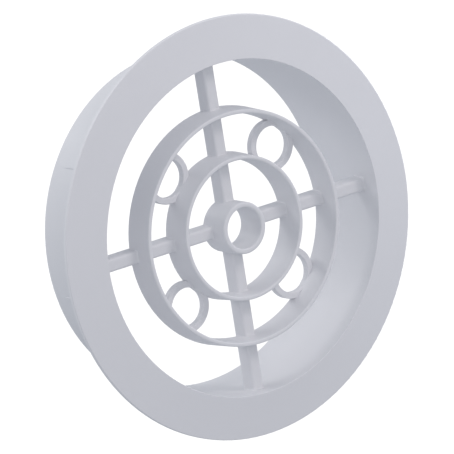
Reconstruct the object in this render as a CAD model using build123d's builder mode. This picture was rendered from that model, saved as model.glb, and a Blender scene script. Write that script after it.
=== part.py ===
from build123d import *
from math import cos, radians, sin, tan
import os

# Round ventilation grille, moulded in one piece: a shallow conical flange round a short spigot that
# plugs into a duct, and a spider of arms and rings that fills the mouth.
# Millimetres. The duct's axis is Y, the front faces -Y and +Z is up. The origin is on the axis, in the
# plane of the flat land behind the rim that seats on the wall. "Forward" is measured from there to -Y.

# Flange
flange_diameter = 116.0
flange_rise = 3.1
rim_thickness = 1.0
seat_width = 2.0
rim_rounding = 0.35
mouth_rounding = 0.15

# Spigot: straight outside, with a bore that widens a little to the front. The length runs back from the
# seat, and the wall is given at the open end.
spigot_diameter = 93.5
spigot_length = 24.7
spigot_wall = 0.95
bore_draft = 0.3
spigot_end_rounding = 0.25
spigot_root_rounding = 0.6

# Low ribs outside the spigot that grip the duct
grip_rib_count = 8
grip_rib_first_angle = 12.0
grip_rib_setback = 4.7
grip_rib_length = 5.0
grip_rib_width = 0.8
grip_rib_height = 0.2

# Spider: ring diameters are at the middle of the wall, and walls are given at the back
outer_ring_diameter = 63.5
inner_ring_diameter = 38.5
ring_depth = 8.6
ring_wall = 2.0
ring_draft = 3.0
ring_rounding = 0.4
hub_bore_diameter = 11.2
hub_wall = 1.6
hub_draft = 0.5
hub_rounding = 0.55
arm_count = 4
arm_width = 4.0
arm_depth = 4.1
arm_step = 0.7
arm_rounding = 0.8
small_ring_count = 4
small_ring_first_angle = 45.0
small_ring_wall = 1.8
small_ring_depth = 2.0
small_ring_rounding = 0.3
junction_rounding = 0.4

# Places that follow from the sizes
flange_radius = flange_diameter / 2
outer_ring_radius = outer_ring_diameter / 2
inner_ring_radius = inner_ring_diameter / 2
hub_bore_radius = hub_bore_diameter / 2
spigot_radius = spigot_diameter / 2
spider_back = flange_rise - ring_depth
arm_back = spider_back - arm_step
bore_slope = tan(radians(bore_draft))
ring_slope = tan(radians(ring_draft))
hub_slope = tan(radians(hub_draft))


def bore_radius(forward):
    """Inside radius of the spigot at a distance forward of the seat."""
    return spigot_radius - spigot_wall + (forward + spigot_length) * bore_slope


def corner(section, point):
    """The section's vertex nearest to a point."""
    return section.vertices().sort_by_distance((*point, 0))[0]


# Flange and spigot: one wall turned about the duct's axis. The flange is hollow behind, parallel to its
# front, from the seat land to the foot of the spigot.
mouth_radius = bore_radius(flange_rise)
cone_slope = (flange_rise - rim_thickness) / (flange_radius - mouth_radius)
seat_inner_radius = flange_radius - seat_width
root_forward = cone_slope * (seat_inner_radius - spigot_radius)

end_inside = (bore_radius(-spigot_length), spigot_length)
end_outside = (spigot_radius, spigot_length)
root = (spigot_radius, -root_forward)
seat_inside = (seat_inner_radius, 0)
rim_back = (flange_radius, 0)
rim_front = (flange_radius, -rim_thickness)
mouth = (mouth_radius, -flange_rise)

with BuildPart() as shell:
    with BuildSketch(Plane.XY) as shell_section:
        with BuildLine():
            Polyline(end_inside, end_outside, root, seat_inside, rim_back, rim_front, mouth, close=True)
        make_face()
        fillet([corner(shell_section, end_inside), corner(shell_section, end_outside)], spigot_end_rounding)
        fillet(corner(shell_section, root), spigot_root_rounding)
        fillet(corner(shell_section, rim_front), rim_rounding)
        fillet(corner(shell_section, mouth), mouth_rounding)
    revolve(axis=Axis.Y)

# Grip ribs: low flat-topped slots along the spigot, parallel to the axis
rib_middle = grip_rib_setback + grip_rib_length / 2 - spigot_length
rib_base = spigot_radius - spigot_wall / 2
rib_top = spigot_radius + grip_rib_height

with BuildPart() as grip_ribs:
    for index in range(grip_rib_count):
        turn = radians(grip_rib_first_angle + index * 360 / grip_rib_count)
        outward = Vector(cos(turn), 0, sin(turn))
        rib_plane = Plane(outward * rib_base + Vector(0, -rib_middle, 0), x_dir=(0, 1, 0), z_dir=outward)
        with BuildSketch(rib_plane):
            SlotOverall(grip_rib_length, grip_rib_width)
        extrude(amount=rib_top - rib_base)

# Two coaxial rings, flush with the mouth in front and thinner towards the front
taper = ring_depth * ring_slope

with BuildPart() as rings:
    for radius in (outer_ring_radius, inner_ring_radius):
        back_half = ring_wall / 2
        front_half = back_half - taper
        with BuildSketch(Plane.XY) as ring_section:
            with BuildLine():
                Polyline(
                    (radius - back_half, -spider_back),
                    (radius + back_half, -spider_back),
                    (radius + front_half, -flange_rise),
                    (radius - front_half, -flange_rise),
                    close=True,
                )
            make_face()
            fillet(ring_section.vertices().group_by(Axis.Y)[0], ring_rounding)
        revolve(axis=Axis.Y)

# Hub: a straight bore inside a drafted outside, flush with the arms behind
hub_front_wall = hub_wall - (flange_rise - arm_back) * hub_slope

with BuildPart() as hub:
    with BuildSketch(Plane.XY) as hub_section:
        with BuildLine():
            Polyline(
                (hub_bore_radius, -arm_back),
                (hub_bore_radius + hub_wall, -arm_back),
                (hub_bore_radius + hub_front_wall, -flange_rise),
                (hub_bore_radius, -flange_rise),
                close=True,
            )
        make_face()
        fillet(hub_section.vertices().group_by(Axis.Y)[0], hub_rounding)
    revolve(axis=Axis.Y)

# Arms: bars from inside the hub's wall to inside the spigot's, proud of the rings behind
arm_front = arm_back + arm_depth
arm_front_half = arm_width / 2 - arm_depth * ring_slope
arm_start = hub_bore_radius + hub_wall / 2
arm_end = bore_radius(arm_back) + spigot_wall / 2

with BuildPart() as arms:
    for index in range(arm_count):
        turn = radians(index * 360 / arm_count)
        outward = Vector(cos(turn), 0, sin(turn))
        with BuildSketch(Plane(outward * arm_start, x_dir=(0, 1, 0), z_dir=outward)) as arm_section:
            with BuildLine():
                Polyline(
                    (-arm_back, -arm_width / 2),
                    (-arm_back, arm_width / 2),
                    (-arm_front, arm_front_half),
                    (-arm_front, -arm_front_half),
                    close=True,
                )
            make_face()
            fillet(arm_section.vertices().group_by(Axis.X)[0], arm_rounding)
        extrude(amount=arm_end - arm_start)

# Small flat rings in the corners between the arms. The middle of each one's wall meets the middle of both
# rings' walls, where the ring is cut off.
small_ring_radius = (outer_ring_radius - inner_ring_radius) / 2
small_ring_outside = small_ring_radius + small_ring_wall / 2
small_ring_inside = small_ring_radius - small_ring_wall / 2
small_ring_place = (outer_ring_radius + inner_ring_radius) / 2

with BuildPart() as small_rings:
    with BuildSketch(Plane.XZ.offset(spider_back)):
        with PolarLocations(small_ring_place, small_ring_count, small_ring_first_angle):
            Circle(small_ring_outside)
            Circle(small_ring_inside, mode=Mode.SUBTRACT)
        Circle(outer_ring_radius, mode=Mode.INTERSECT)
        Circle(inner_ring_radius, mode=Mode.SUBTRACT)
    extrude(amount=small_ring_depth)
    front_edges = small_rings.faces().filter_by(Axis.Y).group_by(Axis.Y)[0].edges()
    fillet(front_edges.filter_by(lambda edge: edge.radius < inner_ring_radius), small_ring_rounding)

# The whole moulding. Each arm's sides and front run into the rings, hub and wall with a small fillet. The
# edges that stay behind the arms' middle are left sharp.
arm_middle = (spider_back + arm_front) / 2

with BuildPart() as grille:
    add(shell.part)
    add(rings.part)
    add(hub.part)
    add(arms.part)
    junctions = grille.edges(Select.NEW).filter_by(lambda edge: -edge.bounding_box().min.Y > arm_middle)
    fillet(junctions, junction_rounding)
    add(small_rings.part)
    add(grip_ribs.part)
grille.part.label = "grille"

os.makedirs("parts", exist_ok=True)
export_step(grille.part, "parts/grille.step")
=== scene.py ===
"""Looks, light and camera for the ventilation grille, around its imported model."""
from math import cos, radians, sin

import bpy
from mathutils import Matrix, Vector


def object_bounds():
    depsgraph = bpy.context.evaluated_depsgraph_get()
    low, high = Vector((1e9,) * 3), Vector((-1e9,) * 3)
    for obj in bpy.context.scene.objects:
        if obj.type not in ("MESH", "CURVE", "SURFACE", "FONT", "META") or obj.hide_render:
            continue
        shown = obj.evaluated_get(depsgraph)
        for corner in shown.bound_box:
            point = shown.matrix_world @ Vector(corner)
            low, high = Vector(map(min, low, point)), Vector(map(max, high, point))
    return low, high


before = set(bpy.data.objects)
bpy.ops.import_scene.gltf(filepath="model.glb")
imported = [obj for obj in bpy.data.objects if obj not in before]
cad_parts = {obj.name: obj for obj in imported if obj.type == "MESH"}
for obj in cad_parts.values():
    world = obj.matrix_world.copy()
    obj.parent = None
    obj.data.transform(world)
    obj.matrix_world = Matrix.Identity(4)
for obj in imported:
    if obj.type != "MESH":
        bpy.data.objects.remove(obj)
cad_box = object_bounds()
scene = bpy.context.scene

# Lengths are in metres unless the name says otherwise.

# Camera: the photograph's view, rolled so that the grille leans to the left
VIEW_AZIMUTH = radians(-35.3)
VIEW_ELEVATION = radians(12.7)
VIEW_ROLL = radians(9.0)
VIEW_TARGET = Vector((-0.0026, 0.0015, 0.0006))
VIEW_DISTANCE = 1.933
LENS_MM = 566.3
SENSOR_MM = 36.0

# Stage: a square floor with walls
FLOOR_DROP = 0.6
STAGE_SIZE = 8.0
STAGE_HEIGHT = 4.0
STAGE_WHITE = (1, 1, 1, 1)
STAGE_GLOW = 1.1

# Light: round lamps at one distance, each with its azimuth and elevation in degrees, its watts and its tint
LAMP_DISTANCE = 1.2
LAMP_SIZE = 0.4
WARM = (1.0, 0.93, 0.93)
PLAIN = (1.0, 0.99, 0.99)
COOL = (0.875, 0.915, 1.0)
LAMPS = {
    "key": (30, 40, 2.95, WARM),
    "fill": (-30, 15, 1.6, WARM),
    "right": (90, 15, 4.2, COOL),
    "left": (-120, 40, 1.2, PLAIN),
    "left_high": (-120, 65, 1.65, PLAIN),
    "left_back": (-150, 40, 1.3, PLAIN),
    "low_back": (180, -15, 2.4, COOL),
}
WORLD_STRENGTH = 0.512

# White plastic, as moulded
PLASTIC_PALE = (0.805, 0.81, 0.83, 1)
PLASTIC_DEEP = (0.785, 0.79, 0.81, 1)
PLASTIC_ROUGHNESS = (0.38, 0.5)
SUBSURFACE_WEIGHT = 0.1
SUBSURFACE_DEPTH = 0.0015
SUBSURFACE_SPREAD = (1, 1, 1)
BLOTCH_SIZE = 0.02
BLOTCH_DETAIL = 3
SHEEN_SIZE = 0.006
SHEEN_DETAIL = 2
GRAIN_SIZE = 0.0004
GRAIN_DETAIL = 2
GRAIN_HEIGHT = 0.000012


def direction(azimuth, elevation):
    """Unit vector away from the grille. Azimuth is 0 at the front and grows to the right, in radians."""
    return Vector((sin(azimuth) * cos(elevation), -cos(azimuth) * cos(elevation), sin(elevation)))


def make_camera():
    back = direction(VIEW_AZIMUTH, VIEW_ELEVATION)
    level_right = Vector((cos(VIEW_AZIMUTH), sin(VIEW_AZIMUTH), 0))
    level_up = back.cross(level_right)
    right = level_right * cos(VIEW_ROLL) - level_up * sin(VIEW_ROLL)
    up = level_up * cos(VIEW_ROLL) + level_right * sin(VIEW_ROLL)
    data = bpy.data.cameras.new("camera")
    data.lens = LENS_MM
    data.sensor_width = SENSOR_MM
    data.clip_end = STAGE_SIZE
    camera = bpy.data.objects.new("camera", data)
    turn = Matrix((right, up, back)).transposed().to_4x4()
    camera.matrix_world = Matrix.Translation(VIEW_TARGET + back * VIEW_DISTANCE) @ turn
    scene.collection.objects.link(camera)
    scene.camera = camera


def make_lights():
    world = bpy.data.worlds.new("studio")
    world.use_nodes = True
    background = world.node_tree.nodes["Background"]
    background.inputs["Color"].default_value = (*COOL, 1)
    background.inputs["Strength"].default_value = WORLD_STRENGTH
    scene.world = world
    for name, (azimuth, elevation, watts, tint) in LAMPS.items():
        data = bpy.data.lights.new(name, "AREA")
        data.shape = "DISK"
        data.size = LAMP_SIZE
        data.energy = watts
        data.color = tint
        lamp = bpy.data.objects.new(name, data)
        away = direction(radians(azimuth), radians(elevation))
        turn = away.to_track_quat("Z", "Y").to_matrix().to_4x4()
        lamp.matrix_world = Matrix.Translation(away * LAMP_DISTANCE) @ turn
        scene.collection.objects.link(lamp)


def make_stage():
    """A plain white floor, well below, with walls round it. It glows evenly and sends the grille no light."""
    half = STAGE_SIZE / 2
    low = cad_box[0].z - FLOOR_DROP
    square = [(-half, -half), (half, -half), (half, half), (-half, half)]
    corners = [(x, y, z) for z in (low, low + STAGE_HEIGHT) for x, y in square]
    faces = [(0, 1, 2, 3), (0, 1, 5, 4), (1, 2, 6, 5), (2, 3, 7, 6), (3, 0, 4, 7)]
    mesh = bpy.data.meshes.new("stage")
    mesh.from_pydata(corners, [], faces)
    stage = bpy.data.objects.new("stage", mesh)
    stage.visible_diffuse = False
    stage.visible_glossy = False
    stage.visible_transmission = False
    stage.visible_volume_scatter = False
    stage.visible_shadow = False
    scene.collection.objects.link(stage)
    material = bpy.data.materials.new("stage_white")
    material.use_nodes = True
    nodes = material.node_tree.nodes
    nodes.remove(nodes["Principled BSDF"])
    glow = nodes.new("ShaderNodeEmission")
    glow.inputs["Color"].default_value = STAGE_WHITE
    glow.inputs["Strength"].default_value = STAGE_GLOW
    material.node_tree.links.new(glow.outputs["Emission"], nodes["Material Output"].inputs["Surface"])
    mesh.materials.append(material)


def noise(tree, size, detail):
    """Noise in the grille's own frame, with features of about this size in metres."""
    place = tree.nodes.new("ShaderNodeTexCoord")
    texture = tree.nodes.new("ShaderNodeTexNoise")
    texture.inputs["Scale"].default_value = 1 / size
    texture.inputs["Detail"].default_value = detail
    tree.links.new(place.outputs["Object"], texture.inputs["Vector"])
    return texture.outputs["Fac"]


def make_plastic():
    """White satin plastic: faint cloudiness, uneven sheen and a fine grain from the mould."""
    material = bpy.data.materials.new("white_plastic")
    material.use_nodes = True
    tree = material.node_tree
    shader = tree.nodes["Principled BSDF"]
    shader.inputs["Subsurface Weight"].default_value = SUBSURFACE_WEIGHT
    shader.inputs["Subsurface Radius"].default_value = SUBSURFACE_SPREAD
    shader.inputs["Subsurface Scale"].default_value = SUBSURFACE_DEPTH

    tone = tree.nodes.new("ShaderNodeMix")
    tone.data_type = "RGBA"
    tone.inputs["A"].default_value = PLASTIC_DEEP
    tone.inputs["B"].default_value = PLASTIC_PALE
    tree.links.new(noise(tree, BLOTCH_SIZE, BLOTCH_DETAIL), tone.inputs["Factor"])
    tree.links.new(tone.outputs["Result"], shader.inputs["Base Color"])

    sheen = tree.nodes.new("ShaderNodeMapRange")
    sheen.inputs["To Min"].default_value = PLASTIC_ROUGHNESS[0]
    sheen.inputs["To Max"].default_value = PLASTIC_ROUGHNESS[1]
    tree.links.new(noise(tree, SHEEN_SIZE, SHEEN_DETAIL), sheen.inputs["Value"])
    tree.links.new(sheen.outputs["Result"], shader.inputs["Roughness"])

    bump = tree.nodes.new("ShaderNodeBump")
    bump.inputs["Distance"].default_value = GRAIN_HEIGHT
    tree.links.new(noise(tree, GRAIN_SIZE, GRAIN_DETAIL), bump.inputs["Height"])
    tree.links.new(bump.outputs["Normal"], shader.inputs["Normal"])
    return material


def dress():
    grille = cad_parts["grille"]
    grille.data.materials.clear()
    grille.data.materials.append(make_plastic())


scene.view_settings.view_transform = "Standard"
make_camera()
make_lights()
make_stage()
dress()
